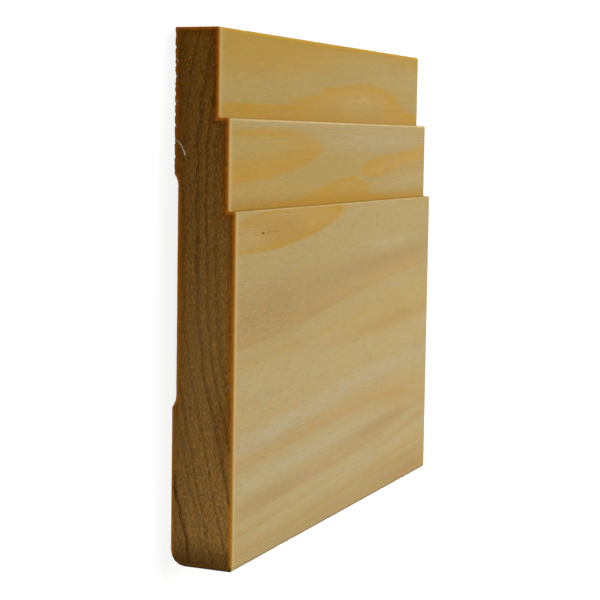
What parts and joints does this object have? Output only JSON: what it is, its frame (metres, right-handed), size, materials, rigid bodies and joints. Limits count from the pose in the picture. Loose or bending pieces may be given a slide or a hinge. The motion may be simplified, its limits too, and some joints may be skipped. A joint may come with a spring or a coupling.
{
  "type": "skirting board length",
  "caption": "Short length of stepped softwood skirting board, sawn square at both ends, with a shallow relief in its back and a rounded heel.",
  "frame": {"origin": "under the middle of the board as it lies on its back, on the plane of the back lands", "axes": "+X along the length, +Y up the face from the floor edge to the top edge, +Z out of the face, away from the wall"},
  "size_m": [0.1524, 0.1396, 0.0175],
  "materials": {
    "pine": "unfinished planed pine"
  },
  "bodies": {
    "root": {"skirting_board": "pine"}
  },
  "joints": []
}
